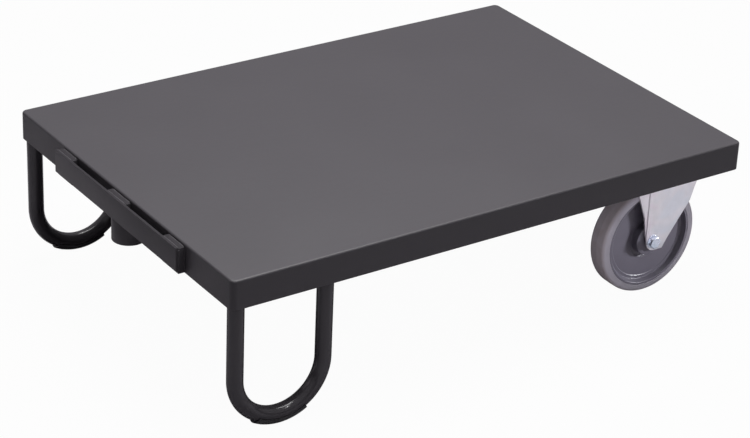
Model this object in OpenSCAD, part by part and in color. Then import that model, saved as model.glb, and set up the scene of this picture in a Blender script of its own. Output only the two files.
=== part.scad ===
// Roll platform: a folded steel deck carried by two fixed castors at one end and by two bent-tube
// foot bows at the other. A spaced-off bar and a pin socket at the bow end take a lifting drawbar.
// +X runs to the castor end, +Y to the right and +Z up. The origin lies on the floor below the
// middle of the overall box. "Left" is the -Y side, as seen when pushing from the castor end.

/* [Deck] */
// Length of the deck in the direction of travel
deck_l = 1000; // [850:10:1250]
// Width of the deck
deck_w = 700; // [580:10:900]
// Thickness of the deck sheet
sheet_t = 3; // [2:0.1:4]
// Depth of the folded sides, measured from the deck's top
skirt_h = 50; // [45:1:70]
// Outside radius of the fold along the top edge
fold_r = 4; // [3.5:0.1:6]
// Outside radius of the upright corners
corner_r = 10; // [7:0.5:20]

/* [Under-frame] */
// Width of the channel sections below the deck
channel_w = 50; // [40:1:60]
// Depth of the channel sections, which sets the castors' plates below the deck
channel_h = 42; // [34:1:60]
// Thickness of the channel sheet
channel_t = 3; // [2:0.1:4]
// Outside radius of the channel's two folds
channel_r = 5; // [4.2:0.1:8]
// Distance from the centre line to each lengthwise channel
rail_y = 130; // [60:5:200]
// Gap left at a welded joint
weld_gap = 0.3; // [0.1:0.1:1]

/* [Foot bows] */
// Outside diameter of the bow tube
tube_d = 26.9; // [20:0.1:34]
// Wall thickness of the bow tube
tube_t = 2.6; // [1.5:0.1:3.5]
// Radius of the half-round bend, to the middle of the tube
bow_r = 80; // [65:1:100]
// Thickness of the glide shoe below the tube
glide_t = 3.5; // [3:0.1:6]
// Half of the arc that a glide shoe covers, in degrees
glide_half = 30; // [28:1:44]
// How far the lips of a glide shoe stop below the middle of the tube
glide_lip = 4; // [1:0.5:8]
// Thickness to which a glide shoe thins towards its lips
glide_lip_t = 1; // [0.8:0.1:2.5]
// Angle from each end of a glide shoe to its rivet
glide_rivet_inset = 9; // [7:1:12]
// Shank diameter of the blind rivets
rivet_d = 4.8; // [3:0.1:6]

/* [Drawbar coupling] */
// Sideways place of the bar and the socket, measured from the centre line
coupling_y = -8; // [-40:1:40]
// Length of the coupling bar
bar_l = 400; // [330:5:480]
// Height of the coupling bar
bar_h = 40; // [30:1:45]
// Thickness of the coupling bar
bar_t = 5; // [4:0.5:8]
// Distance from the deck's top down to the bar's upper edge
bar_drop = 4; // [0:0.5:8]
// Clear width of the slots between the bar and the deck's end
slot_w = 11; // [8:0.5:16]
// Length of each outer spacer
end_spacer_l = 50; // [35:1:70]
// Length of the middle spacer
mid_spacer_l = 60; // [50:1:90]
// Distance from the bar's upper edge down to the top of the spacers
spacer_drop = 1.5; // [0:0.5:4]
// Outside diameter of the pin socket
socket_d = 57; // [48:0.1:70]
// Wall thickness of the pin socket
socket_t = 2.9; // [2:0.1:5]
// Depth of the pin socket below the deck's sides
socket_l = 34; // [25:1:50]
// Radial thickness of the part of the socket that rises to the bar, clear of the bore
riser_t = 1.5; // [1:0.1:1.8]
// Thickness of the plate and of the gussets that back the socket
backing_t = 5; // [3:0.5:8]
// Width of the socket's backing plate
backing_w = 90; // [80:1:120]

/* [Castor wheel] */
// Diameter of the wheel over its tyre
wheel_d = 200; // [160:5:250]
// Width of the wheel's tread
wheel_w = 40; // [32:1:50]
// Depth of the tyre between the tread and the wheel centre
tyre_t = 14; // [9:0.5:20]
// Radius of the tyre's shoulders
shoulder_r = 8; // [4:0.5:9]
// Depth of the ring that keys the tyre into the wheel centre
key_h = 3; // [1:0.5:4]
// Width of that ring
key_w = 16; // [8:1:20]
// How far the wheel centre's rim stays inside the tyre's sides
rim_inset = 1; // [0.5:0.5:3]
// Width of the flat lip around the rim
rim_lip = 4; // [2:0.5:6]
// Radial run of the slope from the lip down to the disc
dish_run = 4; // [3:0.5:14]
// Distance from the wheel's middle plane to the face of the disc
disc_face = 11; // [8:0.5:14]
// Thickness of the disc
disc_t = 7; // [5:0.5:9]
// Radius of the hub boss
boss_r = 29; // [22:1:34]
// Width of the groove round the boss
groove_w = 7; // [4:0.5:10]
// Depth of that groove
groove_h = 3; // [1:0.5:4]
// Number of ribs on the inboard side
rib_n = 12; // [8:1:16]
// Thickness of each rib
rib_t = 4; // [3:0.5:5]

/* [Axle and hub] */
// Diameter of the axle bolt
axle_d = 12; // [10:0.5:14]
// Wall of the sleeve that the fork clamps over the bolt
sleeve_t = 1.4; // [1:0.1:2.5]
// Diameter of the bearing rollers
roller_d = 3; // [2:0.1:4]
// Number of bearing rollers
roller_n = 12; // [8:1:14]
// Length of the roller cage
cage_l = 40; // [30:1:44]
// Width across the flats of the axle's head and nut
axle_af = 19; // [17:1:24]
// Height of the axle's head
axle_head = 7.5; // [6:0.5:10]
// Height of the axle's nut
axle_nut = 10; // [8:0.5:14]
// Radial play of everything that turns on the axle
run_gap = 0.05; // [0.02:0.01:0.1]
// Radial clearance of the holes for bolts and rivets
hole_gap = 0.2; // [0.1:0.05:0.5]

/* [Castor fork] */
// Distance from the side of the tyre to the inside of each leg
side_gap = 5; // [4.5:0.5:8]
// Play between the end of the hub and each leg
end_play = 0.5; // [0.3:0.1:1]
// Thickness of the fork sheet
fork_t = 3.5; // [2.5:0.1:5]
// Height of the castor above the top of its wheel
fork_head = 35; // [28:1:50]
// Distance from the axle back to the middle of the castor plate
lean = 27; // [0:1:35]
// Radius of the leg's rounded tip
tip_r = 18; // [16:0.5:22]
// Distance from the axle back to the middle of that tip
tip_shift = 5; // [0:0.5:7]
// Depth of the step between the leg's face and its front strip
step_h = 2.5; // [1:0.1:2.8]
// Distance from the axle forward to that step
step_x = 14; // [14:1:18]
// Length along the leg that the step takes
step_run = 1; // [0.5:0.1:2.5]

/* [Castor plate] */
// Thickness of the castor plate
plate_t = 4; // [3:0.5:6]
// Hole spacing along the direction of travel
hole_dx = 105; // [95:1:120]
// Distance from the end holes to the plate's edge
plate_edge = 15; // [12:1:20]
// Distance from the outside of a leg to the middle of the nearest hole
bolt_to_leg = 11.5; // [11:0.5:20]
// Diameter of the plate bolts
bolt_d = 10; // [8:0.5:12]
// Width across the flats of the plate bolts and nuts
bolt_af = 17; // [13:1:19]
// Height of the plate bolts' heads
bolt_head = 6.4; // [5:0.1:8]
// Height of the weld nuts
bolt_nut = 8; // [6:0.5:10]
// Thickness of the washers
washer_t = 2; // [1:0.5:3]
// Distance from the deck's castor end to the axles
castor_x = 130; // [120:1:200]
// Distance from the deck's side to the middle of each wheel
castor_y = 82; // [70:1:120]

/* [Hidden] */
$fn = 96;
SMALL_FN = 48;
ROLLER_FN = 32;
LEFT = -1;
RIGHT = 1;
CUT = 1;
MIN_EDGE = 0.5;

// Heights, from the floor up
wheel_r = wheel_d / 2;
castor_h = wheel_d + fork_head;
under_z = castor_h + channel_h;
deck_z = under_z + sheet_t;
skirt_z = deck_z - skirt_h;
bow_z = glide_t + tube_d / 2 + bow_r;

// Places along the deck
end_x = (slot_w + bar_t - deck_l) / 2;
rear_x = end_x + deck_l;
bow_x = end_x + sheet_t + weld_gap + tube_d / 2 + bow_r;
bow_y = deck_w / 2 - sheet_t - weld_gap - tube_d / 2;
axle_x = rear_x - castor_x;
axle_y = deck_w / 2 - castor_y;
plate_x = axle_x + lean;
cross_l = deck_w - 2 * sheet_t - 2 * weld_gap;
rail_x0 = bow_x + channel_w / 2 + weld_gap;
rail_x1 = plate_x - hole_dx / 2 - channel_w / 2 - weld_gap;

// Coupling
bar_x = end_x - slot_w - bar_t;
bar_z = deck_z - bar_drop - bar_h;
spacer_z = deck_z - bar_drop - spacer_drop;
socket_x = bar_x + socket_d / 2;
backing_x = end_x + sheet_t + weld_gap;
backing_l = bow_x - channel_w / 2 - 2 * weld_gap - backing_x;

// Glide rivets: share of the seat that the head fills, and the set bulb inside the tube
glide_head_share = 0.75;
bulb_gap = 1;
bulb_l = 2;
bulb_r = 0.75 * rivet_d;

// Wheel, hub and axle: radii about the axle
bond_r = wheel_r - tyre_t;
rim_half = wheel_w / 2 - rim_inset;
lip_r = bond_r - rim_lip;
disc_r = lip_r - dish_run;
sleeve_r = axle_d / 2 + hole_gap + sleeve_t;
roller_ring = sleeve_r + run_gap + roller_d / 2;
hub_bore = roller_ring + roller_d / 2 + run_gap;
cage_wall_share = 0.36;
cage_wall = roller_d * cage_wall_share;
cage_end = 3;
roller_l = cage_l - 2 * cage_end;
fork_gap = wheel_w + 2 * side_gap;
hub_half = fork_gap / 2 - end_play;
boss_half = hub_half - step_h;
nose_w = 2;
nose_r = hub_bore + nose_w;
leg_face = fork_gap / 2 + fork_t;

// Castor plate and fork, from the axle up
plate_l = hole_dx + 2 * plate_edge;
hole_dy = 2 * (leg_face + bolt_to_leg);
plate_w = hole_dy + 2 * plate_edge;
fork_top = wheel_r + fork_head - plate_t;
thread_past_nut = 4;
thread_past_weld_nut = 2;
axle_head_turn = 12;
rivet_x = 40;
rivet_y = 14;
fork_rivet_d = 8;
fork_rivet_head = 3;
fork_rivet_head_r = 6;

// Fork leg outline: distances from the axle
knee_x = 20;
knee_z = 47;
shoulder_x = 37;
shoulder_drop = 36;
toe_x = 22;
heel_x = 33;
rear_knee_x = 76;
rear_knee_z = 61;
rear_shoulder_x = 87;

// ---- shared shapes ----

// Half section of a tray with a rounded top edge, from its axis out to r
module edge_section(r, h, edge) {
    square([r, h - edge]);
    square([r - edge, h]);
    translate([r - edge, h - edge]) circle(edge);
}

// Solid block, l by w by h, with upright corners of radius corner and a top edge of radius edge
module rounded_block(l, w, h, corner, edge) {
    for (x = [-1, 1], y = [-1, 1])
        translate([x * (l / 2 - corner), y * (w / 2 - corner), 0])
            rotate_extrude() intersection() {
                edge_section(corner, h, edge);
                square([corner, h]);
            }
    rotate([90, 0, 90]) translate([0, 0, corner - l / 2]) linear_extrude(l - 2 * corner)
        for (m = [0, 1]) mirror([m, 0]) edge_section(w / 2, h, edge);
    rotate([90, 0, 0]) translate([0, 0, corner - w / 2]) linear_extrude(w - 2 * corner)
        for (m = [0, 1]) mirror([m, 0]) edge_section(l / 2, h, edge);
}

// Section of a channel, open at the top, with its web at the bottom
module channel_section() {
    inner_r = channel_r - channel_t;
    difference() {
        channel_outline(channel_w, channel_h, channel_r);
        translate([0, channel_t])
            channel_outline(channel_w - 2 * channel_t, channel_h, inner_r);
    }
}

module channel_outline(w, h, r) {
    translate([-w / 2, r]) square([w, h - r]);
    translate([r - w / 2, 0]) square([w - 2 * r, h]);
    for (x = [-1, 1]) translate([x * (w / 2 - r), r]) circle(r);
}

// Channel of length l lying along X, with its top edges on the deck's underside
module channel_along_x(l) {
    translate([0, 0, under_z - channel_h]) rotate([90, 0, 90]) linear_extrude(l) channel_section();
}

// Channel across the deck, centred on x
module channel_across(x) {
    translate([x, cross_l / 2, under_z - channel_h])
        rotate([90, 0, 0]) linear_extrude(cross_l) channel_section();
}

// Ring along Z
module ring(r_out, r_in, h) {
    difference() {
        cylinder(h = h, r = r_out);
        translate([0, 0, -CUT]) cylinder(h = h + 2 * CUT, r = r_in);
    }
}

// Hexagonal prism along Z, af across its flats
module hex(af, h) {
    cylinder(h = h, r = af / 2 / cos(30), $fn = 6);
}

// Points +Z of the children outwards, along the castor's local +Y
module outward() {
    rotate([-90, 0, 0]) children();
}

// Castor frame: the axle's middle at the origin, +Y to the deck's own side
module at_castor(side) {
    translate([axle_x, side * axle_y, wheel_r]) mirror([0, side < 0 ? 1 : 0, 0]) children();
}

// Bow frame: the middle of the half-round bend at the origin, the bow in the XZ plane
module at_bow(side) {
    translate([bow_x, side * bow_y, bow_z]) children();
}

// The two places where a glide is riveted, with +Z to the middle of the bend
module at_glide_rivets() {
    for (a = [-1, 1])
        rotate([0, a * (glide_half - glide_rivet_inset), 0])
            translate([0, 0, -bow_r - tube_d / 2]) children();
}

// Places of the four castor bolts, on the castor plate's top face
module at_plate_holes() {
    for (x = [-1, 1], y = [-1, 1])
        translate([lean + x * hole_dx / 2, y * hole_dy / 2, wheel_r + fork_head]) children();
}

module at_fork_rivets() {
    for (x = [-1, 1], y = [-1, 1])
        translate([lean + x * rivet_x, y * rivet_y, fork_top]) children();
}

// ---- deck and under-frame ----

module deck() {
    inner_edge = max(fold_r - sheet_t, MIN_EDGE);
    color("#55535a") translate([(end_x + rear_x) / 2, 0, skirt_z]) difference() {
        rounded_block(deck_l, deck_w, skirt_h, corner_r, fold_r);
        translate([0, 0, -CUT])
            rounded_block(deck_l - 2 * sheet_t, deck_w - 2 * sheet_t, skirt_h - sheet_t + CUT,
                corner_r - sheet_t, inner_edge);
    }
}

module front_channel() {
    color("#3c3b40") channel_across(bow_x);
}

// Cross channel below the castors, drilled for one row of castor bolts on each side
module castor_channel(row) {
    color("#3c3b40") difference() {
        channel_across(plate_x + row * hole_dx / 2);
        for (side = [LEFT, RIGHT], y = [-1, 1])
            translate([plate_x + row * hole_dx / 2, side * axle_y + y * hole_dy / 2, castor_h - CUT])
                cylinder(h = channel_t + 2 * CUT, r = bolt_d / 2 + 2 * hole_gap);
    }
}

module castor_channel_front() {
    castor_channel(-1);
}

module castor_channel_rear() {
    castor_channel(1);
}

module rail(side) {
    color("#3c3b40") translate([rail_x0, side * rail_y, 0]) channel_along_x(rail_x1 - rail_x0);
}

module left_rail() {
    rail(LEFT);
}

module right_rail() {
    rail(RIGHT);
}

// ---- foot bows ----

// Solid of the bow at radius r about its centre line
module bow_bar(r) {
    rotate([-90, 0, 0]) rotate_extrude(angle = 180) translate([bow_r, 0]) circle(r);
    for (x = [-1, 1]) translate([x * bow_r, 0, 0]) cylinder(h = under_z - bow_z, r = r);
}

module bow(side) {
    color("#313037") at_bow(side) difference() {
        bow_bar(tube_d / 2);
        bow_bar(tube_d / 2 - tube_t);
        at_glide_rivets() translate([0, 0, -CUT])
            cylinder(h = tube_t + 2 * CUT, r = rivet_d / 2 + hole_gap, $fn = SMALL_FN);
    }
}

module left_bow() {
    bow(LEFT);
}

module right_bow() {
    bow(RIGHT);
}

// Wear shoe that cups the lowest part of the bend
module glide(side) {
    head_seat = glide_t / 2;
    color("#1f1f22") at_bow(side) difference() {
        rotate([-90, 0, 0]) rotate([0, 0, 90 - glide_half]) rotate_extrude(angle = 2 * glide_half)
            translate([bow_r, 0]) difference() {
                intersection() {
                    translate([glide_t - glide_lip_t, 0]) circle(tube_d / 2 + glide_lip_t);
                    translate([glide_lip, -tube_d]) square([2 * tube_d, 2 * tube_d]);
                }
                circle(tube_d / 2);
            }
        at_glide_rivets() {
            translate([0, 0, -glide_t - CUT])
                cylinder(h = glide_t + 2 * CUT, r = rivet_d / 2 + hole_gap, $fn = SMALL_FN);
            translate([0, 0, -glide_t - CUT])
                cylinder(h = glide_t + CUT - head_seat, r = rivet_d + hole_gap, $fn = SMALL_FN);
        }
    }
}

module left_glide() {
    glide(LEFT);
}

module right_glide() {
    glide(RIGHT);
}

// Two blind rivets: a sunk flat head below, a set bulb inside the tube
module glide_rivets(side) {
    head_seat = glide_t / 2;
    head_t = head_seat * glide_head_share;
    bulb_z = tube_t + bulb_gap;
    color("#9b9ca2") at_bow(side) at_glide_rivets() {
        translate([0, 0, -head_seat - head_t]) cylinder(h = head_t, r = rivet_d, $fn = SMALL_FN);
        translate([0, 0, -head_seat]) cylinder(h = bulb_z + head_seat, r = rivet_d / 2, $fn = SMALL_FN);
        translate([0, 0, bulb_z]) cylinder(h = bulb_l, r = bulb_r, $fn = SMALL_FN);
    }
}

module left_glide_rivets() {
    glide_rivets(LEFT);
}

module right_glide_rivets() {
    glide_rivets(RIGHT);
}

// ---- drawbar coupling ----

module coupling_bar() {
    color("#3a383f") translate([bar_x, coupling_y - bar_l / 2, bar_z]) cube([bar_t, bar_l, bar_h]);
}

// Block between the bar and the deck's end, l long, from y on
module spacer(y, l) {
    color("#3a383f") translate([bar_x + bar_t, coupling_y + y, skirt_z])
        cube([slot_w, l, spacer_z - skirt_z]);
}

module left_spacer() {
    spacer(-bar_l / 2, end_spacer_l);
}

module middle_spacer() {
    spacer(-mid_spacer_l / 2, mid_spacer_l);
}

module right_spacer() {
    spacer(bar_l / 2 - end_spacer_l, end_spacer_l);
}

// Stub of tube below the deck's end, notched so that its front wall rises to the coupling bar
module pin_socket() {
    riser_h = bar_z - skirt_z - weld_gap;
    color("#313037") {
        translate([socket_x, coupling_y, skirt_z - socket_l])
            ring(socket_d / 2, socket_d / 2 - socket_t, socket_l);
        intersection() {
            translate([socket_x, coupling_y, skirt_z - CUT])
                ring(socket_d / 2, socket_d / 2 - riser_t, riser_h + CUT);
            translate([bar_x - CUT, coupling_y - socket_d, skirt_z - 2 * CUT])
                cube([bar_t - weld_gap + CUT, 2 * socket_d, riser_h + 4 * CUT]);
        }
    }
}

// Plate that closes the socket's top and ties it to the inside of the deck
module socket_plate() {
    color("#3c3b40") translate([backing_x, coupling_y - backing_w / 2, skirt_z])
        cube([backing_l, backing_w, backing_t]);
}

module socket_gussets() {
    gusset_h = under_z - skirt_z - backing_t;
    color("#3c3b40") for (y = [-1, 1])
        translate([backing_x, coupling_y + y * (backing_w - backing_t) / 2 - backing_t / 2,
                skirt_z + backing_t])
            cube([backing_l, backing_t, gusset_h]);
}

// ---- castor: plate, fork and fasteners ----

module castor_plate() {
    color("#bfc0c6") difference() {
        translate([lean - plate_l / 2, -plate_w / 2, fork_top]) cube([plate_l, plate_w, plate_t]);
        at_plate_holes() translate([0, 0, -plate_t - CUT])
            cylinder(h = plate_t + 2 * CUT, r = bolt_d / 2 + 2 * hole_gap);
        at_fork_rivets() translate([0, 0, -CUT])
            cylinder(h = plate_t + 2 * CUT, r = fork_rivet_d / 2 + hole_gap);
    }
}

// Side view of a fork leg, with the axle at the origin
module leg_outline() {
    polygon([
        [tip_shift - tip_r, 0],
        [-knee_x, knee_z],
        [-shoulder_x, fork_top - shoulder_drop],
        [lean - plate_l / 2, fork_top],
        [lean + plate_l / 2, fork_top],
        [rear_shoulder_x, fork_top - shoulder_drop],
        [rear_knee_x, rear_knee_z],
        [heel_x, 0],
        [toe_x, -tip_r],
        [tip_shift, -tip_r],
        [tip_shift, 0]
    ]);
    translate([tip_shift, 0]) circle(tip_r);
}

// Top view of a fork leg: the face, the sloping step and the front strip
module leg_section() {
    inside = fork_gap / 2;
    polygon([
        [lean + plate_l, inside],
        [-step_x, inside],
        [-step_x - step_run, inside - step_h],
        [-plate_l, inside - step_h],
        [-plate_l, leg_face - step_h],
        [-step_x - step_run, leg_face - step_h],
        [-step_x, leg_face],
        [lean + plate_l, leg_face]
    ]);
}

module fork_leg() {
    intersection() {
        outward() mirror([0, 1, 0]) linear_extrude(leg_face + CUT) leg_outline();
        translate([0, 0, -tip_r - CUT]) linear_extrude(fork_top + tip_r + CUT) leg_section();
    }
}

// Pressed fork: two legs and the web between them
module fork() {
    color("#c4c5cb") difference() {
        union() {
            fork_leg();
            mirror([0, 1, 0]) fork_leg();
            translate([lean - plate_l / 2, -leg_face + step_h, fork_top - fork_t])
                cube([plate_l, 2 * (leg_face - step_h), fork_t]);
        }
        outward() translate([0, 0, -leg_face - CUT])
            cylinder(h = 2 * (leg_face + CUT), r = axle_d / 2 + hole_gap);
        at_fork_rivets() translate([0, 0, -fork_t - CUT])
            cylinder(h = fork_t + 2 * CUT, r = fork_rivet_d / 2 + hole_gap);
    }
}

// Rivets that hold the fork to its plate, flush above and headed below
module fork_rivets() {
    color("#b4b6bc") at_fork_rivets() {
        translate([0, 0, -fork_t]) cylinder(h = fork_t + plate_t, r = fork_rivet_d / 2);
        translate([0, 0, -fork_t - fork_rivet_head])
            cylinder(h = fork_rivet_head, r = fork_rivet_head_r);
    }
}

module plate_bolts() {
    seat = -plate_t - washer_t;
    shank_top = channel_t + bolt_nut + thread_past_weld_nut;
    color("#c6cad2") at_plate_holes() {
        translate([0, 0, seat - bolt_head]) hex(bolt_af, bolt_head);
        translate([0, 0, seat]) cylinder(h = shank_top - seat, r = bolt_d / 2);
    }
}

module plate_washers() {
    color("#c6cad2") at_plate_holes() translate([0, 0, -plate_t - washer_t])
        ring(bolt_d, bolt_d / 2 + hole_gap, washer_t);
}

module weld_nuts() {
    color("#a9abb1") at_plate_holes() translate([0, 0, channel_t]) difference() {
        hex(bolt_af, bolt_nut);
        translate([0, 0, -CUT]) cylinder(h = bolt_nut + 2 * CUT, r = bolt_d / 2 + run_gap);
    }
}

// ---- castor: axle, hub bearing and wheel ----

module axle_bolt() {
    head_y = leg_face + washer_t;
    tail = leg_face + washer_t + axle_nut + thread_past_nut;
    color("#b9c6d6") outward() {
        translate([0, 0, -tail]) cylinder(h = tail + head_y, r = axle_d / 2);
        translate([0, 0, head_y]) rotate(axle_head_turn) hex(axle_af, axle_head);
    }
}

module axle_washers() {
    color("#c6cad2") outward() for (m = [0, 1]) mirror([0, 0, m])
        translate([0, 0, leg_face]) ring(axle_d, axle_d / 2 + hole_gap, washer_t);
}

module axle_nut_piece() {
    color("#b9c6d6") outward() translate([0, 0, -leg_face - washer_t - axle_nut]) difference() {
        hex(axle_af, axle_nut);
        translate([0, 0, -CUT]) cylinder(h = axle_nut + 2 * CUT, r = axle_d / 2 + run_gap);
    }
}

module axle_sleeve() {
    color("#a9abb1") outward() translate([0, 0, -fork_gap / 2])
        ring(sleeve_r, axle_d / 2 + hole_gap, fork_gap);
}

module at_rollers() {
    outward() for (i = [0 : roller_n - 1])
        rotate(i * 360 / roller_n) translate([roller_ring, 0, 0]) children();
}

module hub_rollers() {
    color("#d0d2d6") at_rollers() translate([0, 0, -roller_l / 2])
        cylinder(h = roller_l, r = roller_d / 2, $fn = ROLLER_FN);
}

module roller_cage() {
    color("#5b5f4e") difference() {
        outward() translate([0, 0, -cage_l / 2])
            ring(roller_ring + cage_wall, roller_ring - cage_wall, cage_l);
        at_rollers() translate([0, 0, -roller_l / 2 - run_gap])
            cylinder(h = roller_l + 2 * run_gap, r = roller_d / 2 + run_gap, $fn = ROLLER_FN);
    }
}

// Half profile of the wheel centre: radius against distance outboard of the middle plane. The boss
// passes inside the legs' front strips, and only the narrow nose at each end reaches the legs' faces.
module centre_profile() {
    difference() {
        polygon([
            [hub_bore, -hub_half],
            [nose_r, -hub_half],
            [nose_r, -boss_half],
            [boss_r, -boss_half],
            [boss_r, disc_face - disc_t],
            [disc_r, disc_face - disc_t],
            [disc_r, -disc_face],
            [lip_r, -rim_half],
            [bond_r, -rim_half],
            [bond_r, rim_half],
            [lip_r, rim_half],
            [disc_r, disc_face],
            [boss_r + groove_w, disc_face],
            [boss_r + groove_w, disc_face - groove_h],
            [boss_r, disc_face - groove_h],
            [boss_r, boss_half],
            [nose_r, boss_half],
            [nose_r, hub_half],
            [hub_bore, hub_half]
        ]);
        translate([bond_r - key_h, -key_w / 2]) square([key_h + CUT, key_w]);
    }
}

// Moulded wheel centre: smooth outboard, with ribs between the boss and the rim inboard
module wheel_centre() {
    color("#4a4851") outward() {
        rotate_extrude() centre_profile();
        for (i = [0 : rib_n - 1]) rotate((i + 0.5) * 360 / rib_n)
            translate([boss_r - CUT, -rib_t / 2, CUT - disc_face])
                cube([disc_r - boss_r + 2 * CUT, rib_t, 2 * disc_face - disc_t]);
    }
}

// Half profile of the tyre, with rounded shoulders and the ring that keys it into the wheel centre
module tyre_profile() {
    half = wheel_w / 2;
    translate([bond_r, -half]) square([tyre_t - shoulder_r, wheel_w]);
    translate([bond_r, shoulder_r - half]) square([tyre_t, wheel_w - 2 * shoulder_r]);
    intersection() {
        for (z = [-1, 1]) translate([wheel_r - shoulder_r, z * (half - shoulder_r)]) circle(shoulder_r);
        translate([bond_r, -half]) square([tyre_t, wheel_w]);
    }
    translate([bond_r - key_h, -key_w / 2]) square([key_h + CUT, key_w]);
}

// Tyre, moulded on to the wheel centre
module tyre() {
    color("#8f8c98") outward() rotate_extrude() tyre_profile();
}

module left_castor_plate() { at_castor(LEFT) castor_plate(); }
module left_fork() { at_castor(LEFT) fork(); }
module left_fork_rivets() { at_castor(LEFT) fork_rivets(); }
module left_plate_bolts() { at_castor(LEFT) plate_bolts(); }
module left_plate_washers() { at_castor(LEFT) plate_washers(); }
module left_weld_nuts() { at_castor(LEFT) weld_nuts(); }
module left_axle_bolt() { at_castor(LEFT) axle_bolt(); }
module left_axle_washers() { at_castor(LEFT) axle_washers(); }
module left_axle_nut() { at_castor(LEFT) axle_nut_piece(); }
module left_axle_sleeve() { at_castor(LEFT) axle_sleeve(); }
module left_hub_rollers() { at_castor(LEFT) hub_rollers(); }
module left_roller_cage() { at_castor(LEFT) roller_cage(); }
module left_wheel_centre() { at_castor(LEFT) wheel_centre(); }
module left_tyre() { at_castor(LEFT) tyre(); }
module right_castor_plate() { at_castor(RIGHT) castor_plate(); }
module right_fork() { at_castor(RIGHT) fork(); }
module right_fork_rivets() { at_castor(RIGHT) fork_rivets(); }
module right_plate_bolts() { at_castor(RIGHT) plate_bolts(); }
module right_plate_washers() { at_castor(RIGHT) plate_washers(); }
module right_weld_nuts() { at_castor(RIGHT) weld_nuts(); }
module right_axle_bolt() { at_castor(RIGHT) axle_bolt(); }
module right_axle_washers() { at_castor(RIGHT) axle_washers(); }
module right_axle_nut() { at_castor(RIGHT) axle_nut_piece(); }
module right_axle_sleeve() { at_castor(RIGHT) axle_sleeve(); }
module right_hub_rollers() { at_castor(RIGHT) hub_rollers(); }
module right_roller_cage() { at_castor(RIGHT) roller_cage(); }
module right_wheel_centre() { at_castor(RIGHT) wheel_centre(); }
module right_tyre() { at_castor(RIGHT) tyre(); }

deck();
front_channel();
castor_channel_front();
castor_channel_rear();
left_rail();
right_rail();
left_bow();
right_bow();
left_glide();
right_glide();
left_glide_rivets();
right_glide_rivets();
coupling_bar();
left_spacer();
middle_spacer();
right_spacer();
pin_socket();
socket_plate();
socket_gussets();
left_castor_plate();
left_fork();
left_fork_rivets();
left_plate_bolts();
left_plate_washers();
left_weld_nuts();
left_axle_bolt();
left_axle_washers();
left_axle_nut();
left_axle_sleeve();
left_hub_rollers();
left_roller_cage();
left_wheel_centre();
left_tyre();
right_castor_plate();
right_fork();
right_fork_rivets();
right_plate_bolts();
right_plate_washers();
right_weld_nuts();
right_axle_bolt();
right_axle_washers();
right_axle_nut();
right_axle_sleeve();
right_hub_rollers();
right_roller_cage();
right_wheel_centre();
right_tyre();
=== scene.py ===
import math

import bmesh
import bpy
from mathutils import Matrix, Vector


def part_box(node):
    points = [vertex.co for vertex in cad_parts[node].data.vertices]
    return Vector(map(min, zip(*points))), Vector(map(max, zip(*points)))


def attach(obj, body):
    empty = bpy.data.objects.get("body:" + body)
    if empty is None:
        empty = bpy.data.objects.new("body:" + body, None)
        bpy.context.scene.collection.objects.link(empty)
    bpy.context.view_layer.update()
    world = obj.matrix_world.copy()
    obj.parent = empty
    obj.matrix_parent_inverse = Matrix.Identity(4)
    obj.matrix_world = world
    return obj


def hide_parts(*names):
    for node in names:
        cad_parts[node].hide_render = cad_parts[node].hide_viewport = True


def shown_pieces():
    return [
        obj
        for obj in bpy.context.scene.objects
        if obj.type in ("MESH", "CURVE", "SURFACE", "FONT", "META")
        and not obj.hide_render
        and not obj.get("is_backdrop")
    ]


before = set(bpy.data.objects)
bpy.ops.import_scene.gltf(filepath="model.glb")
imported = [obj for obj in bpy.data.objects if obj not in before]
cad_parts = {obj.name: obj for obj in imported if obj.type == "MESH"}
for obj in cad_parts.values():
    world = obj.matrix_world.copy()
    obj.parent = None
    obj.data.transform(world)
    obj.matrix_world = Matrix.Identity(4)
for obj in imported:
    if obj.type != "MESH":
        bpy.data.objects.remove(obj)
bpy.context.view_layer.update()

# ---- View, floor and light ----
# The platform stands alone on a pale floor under soft overhead light, with one small lamp to its
# left and one off the coupling end. A long lens looks down over the coupling end's left corner.
LENS_MM = 117.45
HEADING = math.radians(34.27)
TILT = math.radians(27.21)
LEAN = math.radians(2.22)
CAMERA_PLACE = Vector((-2.1434, -3.0762, 2.0221))
CAMERA_SHIFT = (0.0337, 0.0063)

forward = Vector((
    math.sin(HEADING) * math.cos(TILT),
    math.cos(HEADING) * math.cos(TILT),
    -math.sin(TILT),
))
level = Vector((math.cos(HEADING), -math.sin(HEADING), 0))
raised = level.cross(forward)
right = level * math.cos(LEAN) + raised * math.sin(LEAN)
up = raised * math.cos(LEAN) - level * math.sin(LEAN)
camera_data = bpy.data.cameras.new("camera")
camera_data.lens = LENS_MM
camera_data.sensor_width = 36
camera_data.shift_x, camera_data.shift_y = CAMERA_SHIFT
camera = bpy.data.objects.new("camera", camera_data)
turn = Matrix((right, up, -forward)).transposed().to_4x4()
camera.matrix_world = Matrix.Translation(CAMERA_PLACE) @ turn
bpy.context.scene.collection.objects.link(camera)
bpy.context.scene.camera = camera
bpy.context.scene.view_settings.view_transform = "Standard"


def lamp(name, place, aim, width, height, watts, colour=(1, 1, 1)):
    """A rectangular softbox at place, facing aim."""
    data = bpy.data.lights.new(name, "AREA")
    data.shape = "RECTANGLE"
    data.size, data.size_y = width, height
    data.energy = watts
    data.color = colour
    box = bpy.data.objects.new(name, data)
    box.location = place
    box.rotation_euler = (Vector(aim) - Vector(place)).to_track_quat("-Z", "Y").to_euler()
    bpy.context.scene.collection.objects.link(box)
    return box


lamp("overhead_softbox", (0.3, 0.1, 3.3), (0.1, 0, 0.2), 2.8, 2.4, 204)
lamp("front_lamp", (0.6, -2.4, 2.9), (0, 0, 0.1), 0.09, 0.05, 10)
lamp("end_lamp", (-2.9, 0.7, 1.7), (0, 0, 0.1), 0.4, 0.6, 1.6, (1, 0.8, 0.95))

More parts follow.
